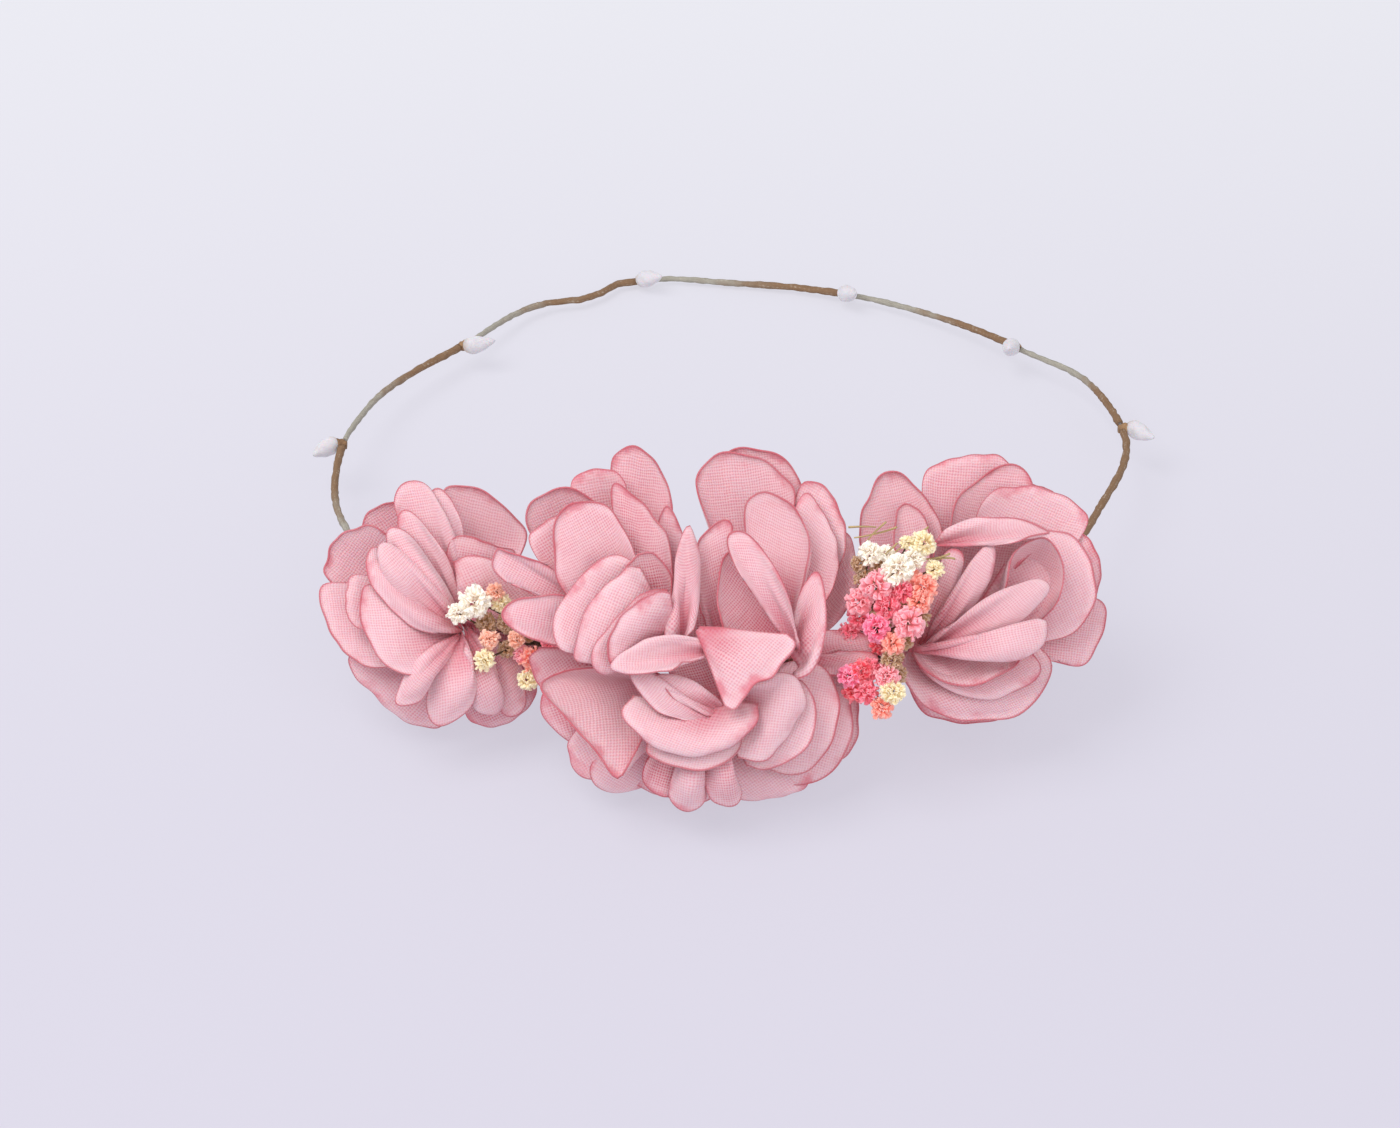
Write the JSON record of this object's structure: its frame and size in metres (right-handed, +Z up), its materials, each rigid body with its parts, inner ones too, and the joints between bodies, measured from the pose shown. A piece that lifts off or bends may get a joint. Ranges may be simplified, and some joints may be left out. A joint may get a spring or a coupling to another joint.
{
  "type": "flower crown",
  "caption": "Bent wire ring wrapped in paper, with pip buds round the back and fabric flowers and dried sprigs bound along the front.",
  "frame": {"origin": "under the middle of the whole crown, at the height of the table it lies on", "axes": "+X to the right seen from the flowers' side, +Y from the flowers towards the back of the ring, +Z up"},
  "size_m": [0.1812, 0.1998, 0.0538],
  "materials": {
    "stem_paper": "crepe paper, matte, grey-green to brown",
    "steel_wire": "drawn spring wire",
    "pip_cap": "wound paper, brown, matte",
    "pip_bud": "white flocked pip, matte",
    "floral_tape": "stretched crepe tape, matte",
    "glue": "hot-melt glue, satin",
    "felt": "felt, matte",
    "petal_cloth": "plain-woven cloth with heat-sealed darker rim",
    "dried_white": "dried flower heads, off-white, matte",
    "dried_cream": "dried flower heads, cream, matte",
    "dried_pink": "dyed dried flower heads, pink, matte",
    "dried_coral": "dyed dried flower heads, coral, matte"
  },
  "bodies": {
    "root": {"core_wire": "steel_wire", "stem_right_tail": "stem_paper", "stem_right": "stem_paper", "stem_right_back": "stem_paper", "stem_back": "stem_paper", "stem_left_back": "stem_paper", "stem_left": "stem_paper", "stem_left_tail": "stem_paper", "band_wrap": "floral_tape", "tape_binding_left": "floral_tape", "tape_binding_right": "floral_tape", "bud_cap_1": "pip_cap", "bud_cap_2": "pip_cap", "bud_cap_3": "pip_cap", "bud_cap_4": "pip_cap", "bud_cap_5": "pip_cap", "bud_cap_6": "pip_cap", "bud_1": "pip_bud", "bud_2": "pip_bud", "bud_3": "pip_bud", "bud_4": "pip_bud", "bud_5": "pip_bud", "bud_6": "pip_bud", "flower_left.boss": "glue", "flower_left.outer_petals": "petal_cloth", "flower_left.middle_petals": "petal_cloth", "flower_left.inner_petals": "petal_cloth", "flower_left.felt_pad": "felt", "flower_upper_left.boss": "glue", "flower_upper_left.outer_petals": "petal_cloth", "flower_upper_left.middle_petals": "petal_cloth", "flower_upper_left.inner_petals": "petal_cloth", "flower_upper_left.felt_pad": "felt", "flower_upper_right.boss": "glue", "flower_upper_right.outer_petals": "petal_cloth", "flower_upper_right.middle_petals": "petal_cloth", "flower_upper_right.inner_petals": "petal_cloth", "flower_upper_right.felt_pad": "felt", "flower_lower.boss": "glue", "flower_lower.outer_petals": "petal_cloth", "flower_lower.middle_petals": "petal_cloth", "flower_lower.inner_petals": "petal_cloth", "flower_lower.felt_pad": "felt", "flower_right.boss": "glue", "flower_right.outer_petals": "petal_cloth", "flower_right.middle_petals": "petal_cloth", "flower_right.inner_petals": "petal_cloth", "flower_right.felt_pad": "felt", "sprig_right_white": "dried_white", "sprig_right_pink": "dried_pink", "sprig_right_coral": "dried_coral", "sprig_right_low": "dried_pink", "sprig_left_white": "dried_white", "sprig_left_coral": "dried_coral", "sprig_left_low": "dried_cream"}
  },
  "joints": []
}
